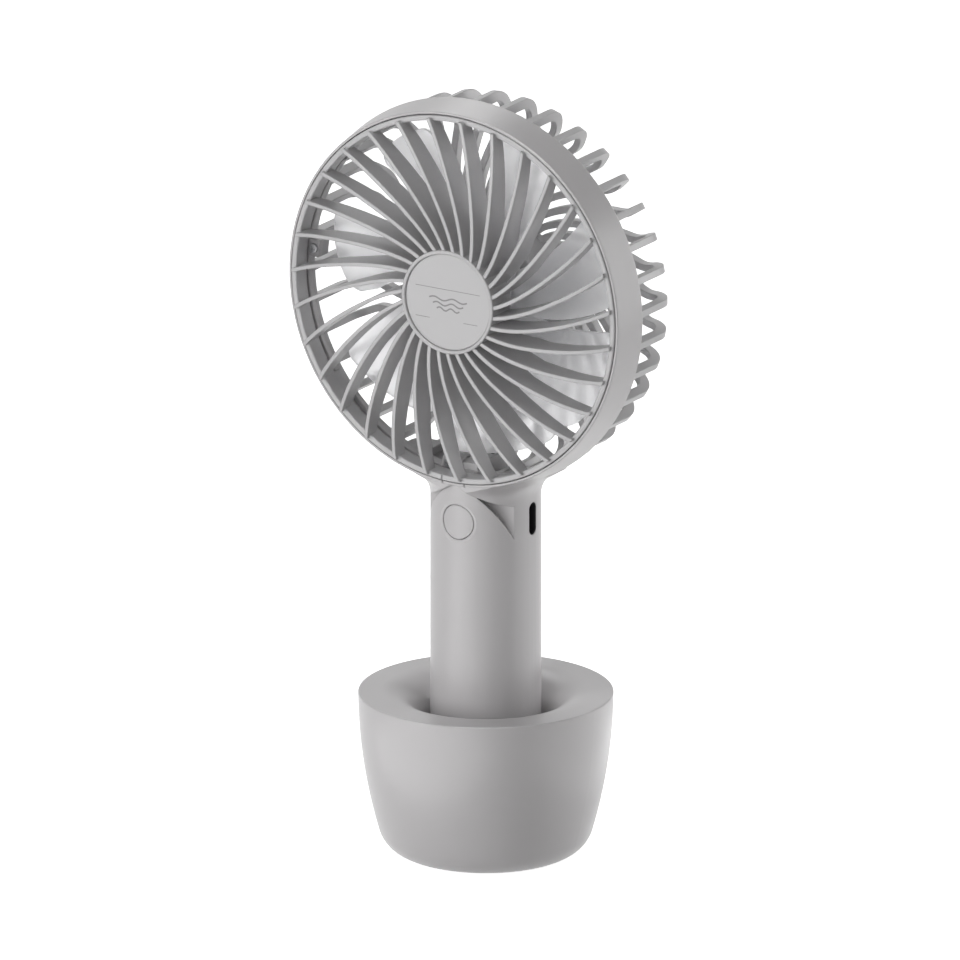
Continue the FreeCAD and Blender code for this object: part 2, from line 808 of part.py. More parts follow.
def hood_prism():
    """Space under the head's hood, in front of the neck."""
    front = band_front - past

    def point(place, side):
        return V(side * place[0], front, flare_height + place[1])

    crown = point((0, hood_crown), 1)
    foot = (hood_end[0], shoulder_foot[1])
    outline = [
        arc(point(hood_end, -1), point(hood_middle, -1), crown),
        arc(crown, point(hood_middle, 1), point(hood_end, 1)),
        line(point(hood_end, 1), point(foot, 1)),
        line(point(foot, 1), point(foot, -1)),
        line(point(foot, -1), point(hood_end, -1)),
    ]
    return face_of(outline).extrude(V(0, hood_depth - front, 0))


def shoulder_pockets(margin):
    """The two pockets beside the arch, grown by a margin."""
    slant = margin * math.sqrt(0.5)
    reach = 2 * handle_radius

    def point(across, height):
        return V(across - slant, 0, flare_height + height - slant)

    crown = point(*shoulder_crown)
    foot = point(*shoulder_foot)
    inside_top = V(crown.x, 0, crown.z + past)
    outside_top = V(reach, 0, crown.z + past)
    bottom = V(reach, 0, foot.z)
    outline = [
        arc(crown, point(*shoulder_middle), foot),
        line(foot, bottom),
        line(bottom, outside_top),
        line(outside_top, inside_top),
        line(inside_top, crown),
    ]
    beside_arch = face_of(outline).extrude(V(0, -reach, 0))
    beside_arch.rotate(V(0, 0, 0), UP, shoulder_turn)
    before_floor = box(-reach, reach, -reach, margin - floor_depth, foot.z - past, crown.z + past)
    before_floor.rotate(V(0, 0, 0), UP, floor_turn)
    right = beside_arch.common(before_floor)
    return [right, right.mirror(V(0, 0, 0), V(1, 0, 0))]


def make_neck():
    """Flared top of the tube. In front it is cut back to a hood, and the tube ends in an arch below it."""
    flare = face_of(flare_edges()).revolve(V(0, 0, 0), UP, 360)
    wide = band_radius
    under_band = box(-wide, wide, band_front + band_edge, band_rear, neck_bottom, head_height)
    ellipse = Part.Ellipse(V(0, 0, neck_bottom), flare_back_reach, flare_back_depth).toShape()
    behind_band = Part.Face(Part.Wire(ellipse)).extrude(V(0, 0, head_height - neck_bottom))
    neck = flare.common(under_band.fuse(behind_band))
    neck = neck.cut(hood_prism())
    column = rod_z(handle_radius, neck_bottom, flare_height + hood_crown)
    front = box(-handle_radius, handle_radius, -handle_radius - past, hood_depth + weld,
                neck_bottom, flare_height + hood_crown)
    column = column.common(front).cut(shoulder_pockets(0))
    return neck.fuse(column)


def handle_hollow():
    """Bore of the handle, with a wall left behind the shoulder pockets."""
    return rod_z(handle_bore, handle_bottom - past, bore_top).cut(shoulder_pockets(pocket_wall))


def button_ring(radius, depth_at):
    """Smooth closed curve around the button's axis. depth_at(x) gives its y."""
    points = []
    for index in range(ring_points):
        angle = 2 * math.pi * index / ring_points
        x = radius * math.cos(angle)
        points.append(V(x, depth_at(x), button_height + radius * math.sin(angle)))
    curve = Part.BSplineCurve()
    curve.interpolate(points, PeriodicFlag=True)
    return Part.Wire(curve.toShape())


def button_cutter():
    """Round hole for the button, with a shallow dish that follows the tube around it."""
    def flat(y):
        return lambda x: y

    def on_tube(radius):
        return lambda x: -math.sqrt(radius ** 2 - x ** 2)

    hole = button_radius + button_gap
    wires = [
        button_ring(button_dish_radius, flat(-handle_radius - 2 * past)),
        button_ring(button_dish_radius, on_tube(handle_radius)),
        button_ring(hole, on_tube(handle_radius - button_dish_depth)),
        button_ring(hole, flat(-button_flange_back + past)),
    ]
    return Part.makeLoft(wires, True, True)


def make_body_shell():
    tube = rod_z(handle_radius, handle_bottom, neck_bottom + weld)
    band = turned_head([
        (0, band_front),
        (bezel_radius, band_front, band_edge),
        (band_radius, band_rear, 2 * band_edge),
        (0, band_rear),
    ])
    body = tube.fuse([make_neck(), band]).removeSplitter()
    behind = flare_back_depth + past
    hollow = turned_head([
        (0, band_front - past),
        (pocket_radius, band_front - past),
        (pocket_radius, ledge_rear),
        (cage_seat_radius, ledge_rear),
        (cage_seat_radius, band_rear),
        (cage_clear_radius, band_rear),
        (cage_clear_radius, behind),
        (0, behind),
    ])
    body = body.cut(hollow)
    body = body.cut(handle_hollow())
    body = body.fuse(make_ledge())
    body = body.cut(stadium_x(usb_slot_length, usb_slot_width, handle_bore - past, handle_radius + past,
                              0, usb_height))
    body = body.removeSplitter().cut(button_cutter())
    body = body.cut(rod_z(lead_hole_radius, bore_top - past, head_height - ledge_radius, 0, conduit_turn))
    for angle in (lock_mark_angle, unlock_mark_angle):
        body = body.cut(mark(pocket_radius - mark_overrun, bezel_radius + mark_overrun, band_front, angle))
    save("body_shell", body)


def make_ledge():
    """Ring inside the band, with ears for the cage's screws and tracks for the grille's hooks."""
    ledge = tube_y(pocket_radius + weld, ledge_radius, ledge_front, ledge_rear)
    for angle in ear_angles():
        ledge = ledge.fuse(ear(ledge_radius + weld, ledge_front, ledge_rear, angle))
        x, z = polar(cage_screw_circle, angle)
        ledge = ledge.cut(rod_y(cage_screw_radius + cover_gap, ledge_front - past, ledge_rear + past,
                                x, head_height + z))
    for track in hook_tracks():
        ledge = ledge.cut(track)
    return ledge.removeSplitter()


def ear_angles():
    return [ear_first_angle + 360.0 * index / ear_count for index in range(ear_count)]


def ear(outer, front, rear, angle):
    """Lug that takes one of the cage's screws."""
    half_angle = math.degrees(ear_half_width / cage_screw_circle)
    return head_sector(ear_inner_radius, outer, front, rear, angle, half_angle)


def mark(inner, outer, front, angle):
    """Thin tick cut into a front face."""
    tick = box(inner, outer, front - past, front + mark_depth,
               head_height - mark_width / 2, head_height + mark_width / 2)
    return turn(tick, angle)


def hook_tracks():
    """Bayonet tracks in the band's ledge: a free path for the hook's leg, an entry, and a groove."""
    edge = math.degrees(twist_gap / ledge_radius)
    wide = hook_half_angle + edge
    front = ledge_front - past
    rear = ledge_rear + track_overrun
    leg_radius = ledge_radius + hook_leg + twist_gap
    foot_radius = ledge_radius + hook_reach + twist_gap
    groove_front = ledge_rear - 2 * twist_gap - hook_foot
    cuts = []
    for index in range(hook_count):
        locked = hook_first_angle + 360.0 * index / hook_count
        between = locked + unlock_turn / 2
        swept = wide + unlock_turn / 2
        cuts.append(head_sector(ledge_radius - past, leg_radius, front, rear, between, swept))
        cuts.append(head_sector(ledge_radius - past, foot_radius, front, rear, locked + unlock_turn, wide))
        cuts.append(head_sector(ledge_radius - past, foot_radius, groove_front, rear, between, swept))
    return cuts


# ---------------------------------------------------------------- front grille
def blade_centre(radius):
    share = (radius - blade_root_radius) / (blade_tip_radius - blade_root_radius)
    linear, square, cube = blade_twist
    angle = blade_first_angle + linear * share + square * share ** 2 + cube * share ** 3
    return polar(radius, angle)


def blade_envelope():
    """Ring that holds all blades: their front and rear edges are its faces."""
    start, linear, square = blade_front
    inner = hub_inner_radius + hub_lip / 2
    front = []
    for radius in spread(inner, blade_end_radius, blade_points):
        share = (radius - blade_root_radius) / (blade_tip_radius - blade_root_radius)
        front.append(on_head(radius, start + linear * share + square * share ** 2))
    curve = Part.BSplineCurve()
    curve.interpolate(front)
    rear = [
        on_head(blade_end_radius, blade_rear_rim),
        on_head(blade_knee_radius, blade_rear_knee),
        on_head(blade_deep_radius, blade_rear_hub),
        on_head(inner, blade_rear_hub),
    ]
    edges = [curve.toShape(), line(front[-1], rear[0])]
    edges += [line(a, b) for a, b in zip(rear, rear[1:])]
    edges.append(line(rear[-1], front[0]))
    return face_of(edges).revolve(HEAD, BACK, 360)


def make_front_grille():
    inner = hub_inner_radius + hub_lip / 2
    radii = spread(inner - weld, blade_end_radius + weld, blade_points)
    blade = strip(blade_centre, radii, blade_half_thickness, hub_front - past, blade_rear_hub + past)
    blade = blade.common(blade_envelope())
    rim = turned_head([
        (rim_inner_radius, rim_front, rim_chamfer),
        (rim_radius, rim_front, rim_chamfer),
        (rim_radius, rim_rear),
        (rim_inner_radius, rim_rear),
    ])
    hub = turned_head([
        (0, hub_floor),
        (hub_inner_radius, hub_floor),
        (hub_inner_radius, hub_front, hub_edge),
        (hub_radius, hub_front, hub_edge),
        (hub_radius, blade_rear_hub),
        (hub_inner_radius, blade_rear_hub),
        (hub_inner_radius, hub_floor + hub_plate),
        (0, hub_floor + hub_plate),
    ])
    grille = rim.multiFuse([hub] + turns(blade, grille_count))
    grille = grille.fuse(hooks())
    grille = grille.cut(mark(rim_inner_radius - mark_overrun, rim_radius + mark_overrun, rim_front,
                             lock_mark_angle))
    save("front_grille", grille)
    save("hub_badge", turned_head([
        (0, hub_floor - badge_thickness),
        (hub_inner_radius - cover_gap, hub_floor - badge_thickness, badge_edge),
        (hub_inner_radius - cover_gap, hub_floor),
        (0, hub_floor),
    ]))


def hooks():
    """Bayonet hooks: legs on the back of the rim, with feet that turn behind the ledge."""
    leg_rear = ledge_rear - twist_gap
    foot_front = leg_rear - hook_foot
    inner = rim_inner_radius + hook_sink
    leg = head_sector(inner, ledge_radius + hook_leg, rim_rear - weld, leg_rear, 0, hook_half_angle)
    foot = head_sector(inner, ledge_radius + hook_reach, foot_front, leg_rear, 0, hook_half_angle)
    pieces = []
    for index in range(hook_count):
        angle = hook_first_angle + 360.0 * index / hook_count
        pieces += [turn(leg, angle), turn(foot, angle)]
    return pieces


# ---------------------------------------------------------------- rear cage
def cage_centre(radius):
    corner = cage_radius - cage_bend
    share = min(1.0, max(0.0, (corner - radius) / (corner - cup_radius)))
    return polar(radius, cage_first_angle + cage_twist * share ** cage_twist_power)


def cage_envelope(depth):
    """Bowl-shaped skin of the cage: its ribs and its wire channel are cut from it."""
    return turned_head([
        (cup_bore + weld, cage_rear),
        (cage_radius, cage_rear, cage_bend),
        (cage_radius, cage_rim_front),
        (cage_radius - depth, cage_rim_front),
        (cage_radius - depth, cage_rear - depth, cage_bend - depth),
        (cup_bore + weld, cage_rear - depth),
    ])


def make_rear_cage():
    corner = cage_radius - cage_bend
    radii = spread(cup_bore, corner, cage_points)
    radii += spread(corner + 2 * past, cage_radius + past, cage_bend_points)
    rib = strip(cage_centre, radii, cage_rib_half_width, cage_rim_front - past, cage_rear + past)
    rib = rib.common(cage_envelope(cage_rib_depth))
    rim = tube_y(cage_seat_radius - cover_gap, cage_rim_inner, cage_rim_front, cage_rim_rear)
    cup = turned_head([
        (tube_radius + running_gap, cup_front),
        (cup_radius, cup_front, cup_front_edge),
        (cup_radius, cage_rear, cup_rear_edge),
        (cup_bore, cage_rear),
        (cup_bore, cup_front + cup_plate),
        (tube_radius + running_gap, cup_front + cup_plate),
    ])
    stop_rear = cage_rear - hub_cap_thickness
    stop = tube_y(cup_bore + weld, cup_bore - cap_stop_width, stop_rear - cap_stop_thickness, stop_rear)
    conduit = box(-conduit_half_width, conduit_half_width, cage_rim_front, cage_rear + past,
                  head_height - cage_radius - past, head_height - cup_bore - weld)
    conduit = conduit.common(cage_envelope(conduit_depth))
    cage = rim.multiFuse([cup, stop, conduit] + turns(rib, cage_count))
    cage = cage.cut(conduit_groove_cut())
    cup_back = cup_front + cup_plate
    cage = cage.cut(rod_y(conduit_groove / 2, cup_front - past, cup_back + past,
                          0, head_height - motor_cable_start))
    for angle in ear_angles():
        cage = cage.fuse(ear(cage_rim_inner + weld, cage_rim_front, cage_ear_rear, angle))
        x, z = polar(cage_screw_circle, angle)
        cage = cage.cut(rod_y(cage_screw_radius, cage_rim_front - past, cage_ear_rear - cage_ear_floor,
                              x, head_height + z))
    for x, z in motor_screw_places():
        cage = cage.cut(rod_y(motor_screw_radius + cover_gap, cup_front - past, cup_back + past,
                              x, head_height + z))
    save("rear_cage", cage)

    cap = turned_head([
        (0, cage_rear - hub_cap_thickness),
        (cup_bore - cover_gap, cage_rear - hub_cap_thickness),
        (cup_bore - cover_gap, cage_rear - cover_gap, cup_rear_edge),
        (0, cage_rear - cover_gap),
    ])
    save("rear_hub_cap", cap)

    screws = []
    for angle in ear_angles():
        x, z = polar(cage_screw_circle, angle)
        screws.append(screw(cage_screw_head_radius, cage_screw_head, cage_screw_radius, cage_screw_length,
                            V(x, ledge_front, head_height + z), BACK))
    save("cage_screws", *screws)


def conduit_groove_cut():
    """Channel for the motor leads: down the back, forward along the leg and out into the neck."""
    half = conduit_groove / 2
    inner_rear = cage_rear - conduit_depth
    inner_leg = head_height - cage_radius + conduit_depth
    down = box(-half, half, inner_rear - past, inner_rear + conduit_groove,
               inner_leg - conduit_groove, head_height - cup_bore + past)
    forward = box(-half, half, conduit_turn - half, inner_rear + conduit_groove,
                  inner_leg - conduit_groove, inner_leg + past)
    out = rod_z(half, head_height - cage_radius - past, inner_leg, 0, conduit_turn)
    return down.fuse([forward, out])


# ---------------------------------------------------------------- impeller
def impeller_outline():
    """Front view of one blade, as an upright prism with rounded tips."""
    half = impeller_span / 2
    inner = impeller_hub_radius - weld
    middle = (inner + impeller_radius) / 2
    front = impeller_hub_front - impeller_camber - past
    rear = impeller_tip_rear + impeller_camber + past

    def point(radius, degrees):
        x, z = polar(radius, degrees)
        return V(x, front, head_height + z)

    def lead_at(radius):
        return impeller_sweep * (radius - inner) / (impeller_radius - inner)

    corners = [point(inner, -half), point(impeller_radius, lead_at(impeller_radius) - half),
               point(impeller_radius, lead_at(impeller_radius) + half), point(inner, half)]
    edges = [
        arc(corners[0], point(middle, lead_at(middle) - half - impeller_bulge), corners[1]),
        arc(corners[1], point(impeller_radius, lead_at(impeller_radius)), corners[2]),
        arc(corners[2], point(middle, lead_at(middle) + half - impeller_bulge), corners[3]),
        arc(corners[3], point(inner, 0), corners[0]),
    ]
    prism = face_of(edges).extrude(V(0, rear - front, 0))
    tips = []
    for edge in prism.Edges:
        bounds = edge.BoundBox
        upright = max(bounds.XLength, bounds.ZLength) < same
        if upright and math.hypot(bounds.XMin, bounds.ZMin - head_height) > impeller_radius - weld:
            tips.append(edge)
    return prism.makeFillet(impeller_tip_rounding, tips)


def impeller_plate():
    """Cambered, twisted plate that the blade's outline is cut from."""
    inner = impeller_hub_radius - weld
    wires = []
    start = inner - impeller_plate_overrun
    end = impeller_radius + impeller_plate_overrun
    for distance in spread(start, end, impeller_sections):
        share = (distance - inner) / (impeller_radius - inner)
        rear = impeller_root_rear + (impeller_tip_rear - impeller_root_rear) * share
        half_depth = (rear - impeller_front_edge) / 2
        centre_y = (rear + impeller_front_edge) / 2
        span = math.radians(impeller_span / 2)
        half_chord = distance * math.sin(span)
        shift = distance * math.tan(math.radians(impeller_sweep * min(max(share, 0), 1) * 0.5))
        across = half_chord * impeller_stretch
        depth = half_depth * impeller_stretch - impeller_thin_edge
        length = math.hypot(across, depth)
        normal = (-depth / length, across / length)

        def point(along, lift):
            tangent = shift + along * across + normal[0] * lift
            axial = centre_y + along * depth + normal[1] * lift
            return V(distance, axial, head_height + tangent)

        half = impeller_blade / 2
        wires.append(Part.Wire([
            arc(point(-1, -half), point(0, -half - impeller_camber), point(1, -half)),
            line(point(1, -half), point(1, half)),
            arc(point(1, half), point(0, half - impeller_camber), point(-1, half)),
            line(point(-1, half), point(-1, -half)),
        ]))
    return Part.makeLoft(wires, True, False)


def make_impeller():
    blade = impeller_plate().common(impeller_outline())
    hub = turned_head([
        (0, impeller_hub_front),
        (impeller_hub_radius, impeller_hub_front, impeller_hub_edge),
        (impeller_hub_radius, impeller_hub_rear),
        (yoke_radius, impeller_hub_rear),
        (yoke_radius, yoke_front),
        (0, yoke_front),
    ])
    hub = hub.cut(rod_y(shaft_radius, shaft_front, yoke_front + past))
    inner_void = rod_y(yoke_radius, yoke_front, impeller_tip_rear + impeller_camber + past)
    blades = turns(turn(blade, impeller_first_angle), impeller_count)
    impeller = hub.multiFuse(blades).cut(inner_void)
    save("impeller", impeller)


# ---------------------------------------------------------------- motor
def make_motor():
    yoke = turned_head([
        (shaft_radius, yoke_front),
        (yoke_radius, yoke_front, yoke_edge),
        (yoke_radius, yoke_rear),
        (magnet_radius, yoke_rear),
        (magnet_radius, yoke_front + yoke_wall),
        (shaft_radius, yoke_front + yoke_wall),
    ])
    save("rotor_yoke", yoke)
    save("magnet_ring", tube_y(magnet_radius, magnet_bore, magnet_front, magnet_rear))
    clip_front = shaft_rear - clip_inset
    clip_rear = clip_front + clip_thickness
    groove = tube_y(shaft_radius + past, clip_inner_radius, clip_front, clip_rear)
    save("motor_shaft", rod_y(shaft_radius, shaft_front, shaft_rear).cut(groove))
    clip = tube_y(clip_radius, clip_inner_radius, clip_front, clip_rear)
    clip = clip.cut(box(-clip_mouth / 2, clip_mouth / 2, clip_front - past, clip_rear + past,
                        head_height - clip_radius - past, head_height))
    save("shaft_clip", clip)

    teeth = []
    coils = []
    for index in range(tooth_count):
        angle = 360.0 * index / tooth_count
        tooth = box(core_yoke_radius - weld, core_radius - weld, core_front, core_rear,
                    head_height - tooth_width / 2, head_height + tooth_width / 2)
        shoe = head_sector(core_radius - core_shoe, core_radius, core_front, core_rear, 0, shoe_half_angle)
        teeth.append(turn(tooth.fuse(shoe), angle))
        wound = tooth_width / 2 + coil_thickness
        coil_outer = core_radius - core_shoe - coil_shoe_gap
        coil = box(coil_inner_radius, coil_outer, core_front - coil_thickness, core_rear + coil_thickness,
                   head_height - wound, head_height + wound)
        boxes = [(edge, edge.BoundBox) for edge in coil.Edges]
        along = [edge for edge, bounds in boxes if bounds.XLength > bounds.DiagonalLength - weld]
        coil = coil.makeFillet(coil_rounding, along)
        hole = box(coil_inner_radius - past, coil_outer + past, core_front, core_rear,
                   head_height - tooth_width / 2, head_height + tooth_width / 2)
        coils.append(turn(coil.cut(hole), angle))
    core = tube_y(core_yoke_radius, tube_radius, core_front, core_rear)
    save("stator_core", core.multiFuse(teeth).removeSplitter())
    save("stator_coils", *coils)

    tube = turned_head([
        (tube_bore, tube_front),
        (tube_radius, tube_front),
        (tube_radius, flange_front),
        (flange_radius, flange_front),
        (flange_radius, cup_front),
        (tube_radius, cup_front),
        (tube_radius, tube_rear),
        (tube_bore, tube_rear),
    ])
    screws = []
    back = cup_front + cup_plate
    for x, z in motor_screw_places():
        tube = tube.cut(rod_y(motor_screw_radius, back - motor_screw_length, cup_front + past,
                              x, head_height + z))
        screws.append(screw(motor_screw_head_radius, motor_screw_head, motor_screw_radius, motor_screw_length,
                            V(x, back, head_height + z), FRONT))
    save("bearing_tube", tube)
    save("motor_screws", *screws)
    save("front_bearing", tube_y(bearing_radius, bearing_bore, tube_front, tube_front + bearing_length))
    save("rear_bearing", tube_y(bearing_radius, bearing_bore, tube_rear - bearing_length, tube_rear))

    board_bore = tube_radius + running_gap
    save("motor_board", tube_y(motor_board_radius, board_bore, motor_board_front, flange_front))


def motor_screw_places():
    step = 360.0 / motor_screw_count
    return [polar(motor_screw_circle, 90 + step * index) for index in range(motor_screw_count)]


def make_motor_leads():
    """Motor cable, from the motor's board through the cage's channel to the main board."""
    start = head_height - motor_cable_start
    leg = head_height - conduit_leg_radius
    board_z = bore_top - motor_cable_drop
    points = [
        V(0, flange_front, start),
        V(0, conduit_axis, start),
        V(0, conduit_axis, leg),
        V(0, conduit_turn, leg),
        V(0, conduit_turn, board_z),
        V(0, board_rear, board_z),
    ]
    save("motor_leads", lead(points, motor_cable_radius, motor_cable_bend))


# ---------------------------------------------------------------- inside the handle
def make_button():
    flange_front = -button_flange_back - button_flange
    face = rod_y(button_radius, -handle_radius, flange_front, 0, button_height)
    reach = button_radius + past
    face = face.common(rod_z(-button_face, button_height - reach, button_height + reach))
    flange = rod_y(button_flange_radius, flange_front, -button_flange_back, 0, button_height)
    stem = rod_y(button_stem_radius, -button_flange_back, plunger_tip - touch_gap, 0, button_height)
    save("power_button", face.fuse([flange, stem]).removeSplitter())

    half = switch_size / 2
    switch = box(-half, half, switch_front, board_front, button_height - half, button_height + half)
    bore_end = switch_front + plunger_depth + button_travel + slide_gap
    switch = switch.cut(rod_y(plunger_radius + running_gap, switch_front - past, bore_end, 0, button_height))
    save("tact_switch", switch)
    save("switch_plunger", rod_y(plunger_radius, plunger_tip, switch_front + plunger_depth, 0, button_height))


def make_handle_inside():
    cap = rod_z(frame_radius, handle_bottom, cap_top)
    cap = cap.cut(rod_z(contact_recess_radius, handle_bottom - past, contact_height))
    ring_inner = pin_spacing - contact_ring_width / 2
    ring_outer = pin_spacing + contact_ring_width / 2
    contact_top = contact_height + contact_thickness
    cap = cap.cut(rod_z(contact_radius, contact_height - past, contact_top))
    cap = cap.cut(tube_z(ring_outer, ring_inner, contact_height - past, contact_top))
    ring_tail_y = math.sqrt(pin_spacing ** 2 - lead_half_spacing ** 2)
    for x, y in ((-lead_half_spacing, 0), (lead_half_spacing, ring_tail_y)):
        cap = cap.cut(rod_z(contact_tail_radius + running_gap, contact_height, cap_top + past, x, y))
    posts = post_places(cap_screw_circle, cap_screw_angles)
    screws = []
    for x, y in posts:
        cap = cap.cut(rod_z(cap_screw_radius + cover_gap, handle_bottom, cap_top + past, x, y))
        cap = cap.cut(rod_z(cap_screw_head_radius + cover_gap, handle_bottom - past, cap_screw_seat, x, y))
        screws.append(screw(cap_screw_head_radius, cap_screw_head, cap_screw_radius, cap_screw_length,
                            V(x, y, cap_screw_seat), UP))
    save("bottom_cap", cap)
    save("cap_screws", *screws)
    tail_top = cap_top + 2 * lead_radius
    tails = [
        rod_z(contact_tail_radius, contact_height, tail_top, -lead_half_spacing, 0),
        rod_z(contact_tail_radius, contact_height, tail_top, lead_half_spacing, ring_tail_y),
    ]
    button = rod_z(contact_radius, contact_height, contact_top)
    ring = tube_z(ring_outer, ring_inner, contact_height, contact_top)
    save("centre_contact", button.fuse(tails[0]).removeSplitter())
    save("ring_contact", ring.fuse(tails[1]).removeSplitter())

    frame = rod_z(frame_radius, cap_top, frame_floor)
    cradle = rod_z(cradle_radius, frame_floor, frame_top)
    fins = []
    for angle in frame_fin_angles:
        fin = box(cradle_bore, frame_radius, -frame_fin / 2, frame_fin / 2, frame_floor, frame_top)
        fin.rotate(V(0, 0, 0), UP, angle)
        fins.append(fin)
    bosses = [rod_z(frame_boss_radius, frame_floor, frame_floor + frame_boss_height, x, y) for x, y in posts]
    deck = rod_z(frame_radius, frame_top, frame_deck)
    frame = frame.multiFuse([cradle, deck] + fins + bosses)
    frame = frame.common(rod_z(frame_radius, cap_top, frame_deck))
    frame = frame.cut(rod_z(cradle_bore, frame_floor, frame_top))
    mouth = math.sqrt(cradle_bore ** 2 - battery_mouth_drop ** 2)
    frame = frame.cut(box(-mouth, mouth, -handle_radius, -battery_mouth_drop, frame_floor, frame_top))
    pilot_end = cap_screw_seat + cap_screw_length + pilot_depth
    frame = frame.cut([rod_z(cap_screw_radius, cap_top - past, pilot_end, x, y) for x, y in posts])
    channel = lead_half_spacing + lead_radius + lead_room
    frame = frame.cut(box(-channel, channel, -past, frame_radius + past, cap_top - past, frame_floor + past))
    frame = frame.cut(box(-channel, channel, cradle_bore - 2 * past, frame_radius + past,
                          cap_top - past, frame_deck + past))
    edge = board_width / 2
    inside = edge - board_post_grip
    outside = inside + board_post_width
    post_front = (board_front + board_rear - board_post_depth) / 2
    post_rear = post_front + board_post_depth
    left = box(-outside, -inside, post_front, post_rear, frame_deck, frame_deck + long_post_height)
    right = box(inside, outside, post_front, post_rear, frame_deck, frame_deck + short_post_height)
    frame = frame.fuse([left, right])
    frame = frame.cut(box(-edge - touch_gap, edge + touch_gap, board_front, board_rear,
                          frame_deck, frame_deck + board_height))
    save("inner_frame", frame.removeSplitter())

    cell = rod_z(battery_radius, battery_bottom, battery_top)
    cell = cell.makeFillet(battery_edge, [edge for edge in cell.Edges if edge.Closed])
    save("battery_cell", cell)
    save("battery_terminal_minus", rod_z(terminal_radius, frame_floor, battery_bottom))
    save("battery_terminal_plus", rod_z(terminal_radius, battery_top, frame_top))

    board = box(-edge, edge, board_front, board_rear, frame_deck, frame_deck + board_height)
    chips = []
    for x0, x1, z0, z1, height in front_chips:
        chips.append(box(x0, x1, board_front - height, board_front, frame_deck + z0, frame_deck + z1))
    for x0, x1, z0, z1, height in rear_chips:
        chips.append(box(x0, x1, board_rear, board_rear + height, frame_deck + z0, frame_deck + z1))
    save("main_board", board.fuse(chips).removeSplitter())

    mouth_x = handle_bore - usb_mouth_gap
    outer = stadium_x(usb_length, usb_thickness, mouth_x - usb_depth, mouth_x, 0, usb_height)
    inner = stadium_x(usb_length - 2 * usb_wall, usb_thickness - 2 * usb_wall, mouth_x - usb_depth + usb_wall,
                      mouth_x + past, 0, usb_height)
    save("usb_socket", outer.cut(inner))
    save("usb_tongue", box(mouth_x - usb_depth + usb_wall, mouth_x - usb_depth + usb_wall + usb_tongue_depth,
                           -usb_tongue_thickness / 2, usb_tongue_thickness / 2,
                           usb_height - usb_tongue_length / 2, usb_height + usb_tongue_length / 2))

    back = (cradle_radius + frame_radius) / 2
    lead_top = frame_deck + lead_rise
    wires = []
    for x, y in ((-lead_half_spacing, 0), (lead_half_spacing, ring_tail_y)):
        wires.append(lead([
            V(x, y + contact_tail_radius, cap_top + lead_radius),
            V(x, back, cap_top + lead_radius),
            V(x, back, lead_top),
            V(x, board_rear, lead_top),
        ], lead_radius, lead_bend))
    save("charge_leads", *wires)


make_dock()
make_pins()
make_body_shell()
make_front_grille()
make_rear_cage()
make_impeller()
make_motor()
make_motor_leads()
make_button()
make_handle_inside()
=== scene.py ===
import json
import math

import bpy
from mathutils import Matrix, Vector


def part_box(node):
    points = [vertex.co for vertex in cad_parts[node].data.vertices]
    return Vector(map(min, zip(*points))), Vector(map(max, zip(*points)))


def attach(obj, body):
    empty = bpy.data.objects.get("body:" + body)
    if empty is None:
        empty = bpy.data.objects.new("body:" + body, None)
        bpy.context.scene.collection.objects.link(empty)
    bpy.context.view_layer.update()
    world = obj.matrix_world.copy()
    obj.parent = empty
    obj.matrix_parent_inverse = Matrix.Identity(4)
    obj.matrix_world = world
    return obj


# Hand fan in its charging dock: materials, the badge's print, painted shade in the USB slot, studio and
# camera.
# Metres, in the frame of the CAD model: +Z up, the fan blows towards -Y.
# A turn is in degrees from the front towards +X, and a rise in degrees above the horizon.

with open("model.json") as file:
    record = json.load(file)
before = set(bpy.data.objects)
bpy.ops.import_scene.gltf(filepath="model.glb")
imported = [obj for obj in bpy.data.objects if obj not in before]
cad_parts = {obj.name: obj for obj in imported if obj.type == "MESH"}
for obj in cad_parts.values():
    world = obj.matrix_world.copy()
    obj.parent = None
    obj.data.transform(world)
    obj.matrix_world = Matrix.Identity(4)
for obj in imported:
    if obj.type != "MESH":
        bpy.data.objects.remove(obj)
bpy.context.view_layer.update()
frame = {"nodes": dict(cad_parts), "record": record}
nodes = frame["nodes"]
MM = 0.001

# ---------------------------------------------------------------- materials
SATIN_GREY = (185, 183, 184)
FINE_GRAIN = (0.35 * MM, 0.012 * MM)      # size and depth
COARSE_GRAIN = (0.50 * MM, 0.010 * MM)
GRAIN_STRENGTH = 0.35
GRAIN_DETAIL = 2.0
EDGE_SOFTNESS = 0.5 * MM                  # rounding that the shading gives to sharp edges
EDGE_SAMPLES = 4
CLOUD_SCALE = 60.0                        # soft patches of tint per metre
CLOUD_DETAIL = 3.0
CLOUD_TINT = 0.02
FROSTED_IOR = 1.2


def linear(channel):
    """Linear value of one sRGB channel given as 0 to 255."""
    value = channel / 255
    return value / 12.92 if value <= 0.04045 else ((value + 0.055) / 1.055) ** 2.4


def colour(red, green, blue):
    return linear(red), linear(green), linear(blue), 1.0


def plain(name, rgb, roughness, metallic=0.0):
    material = bpy.data.materials.new(name)
    material.use_nodes = True
    shader = material.node_tree.nodes["Principled BSDF"]
    shader.inputs["Base Color"].default_value = colour(*rgb)
    shader.inputs["Roughness"].default_value = roughness
    shader.inputs["Metallic"].default_value = metallic
    return material


def noise(tree, place, scale, detail):
    texture = tree.nodes.new("ShaderNodeTexNoise")
    texture.inputs["Scale"].default_value = scale
    texture.inputs["Detail"].default_value = detail
    tree.links.new(place.outputs["Object"], texture.inputs["Vector"])
    return texture.outputs["Fac"]


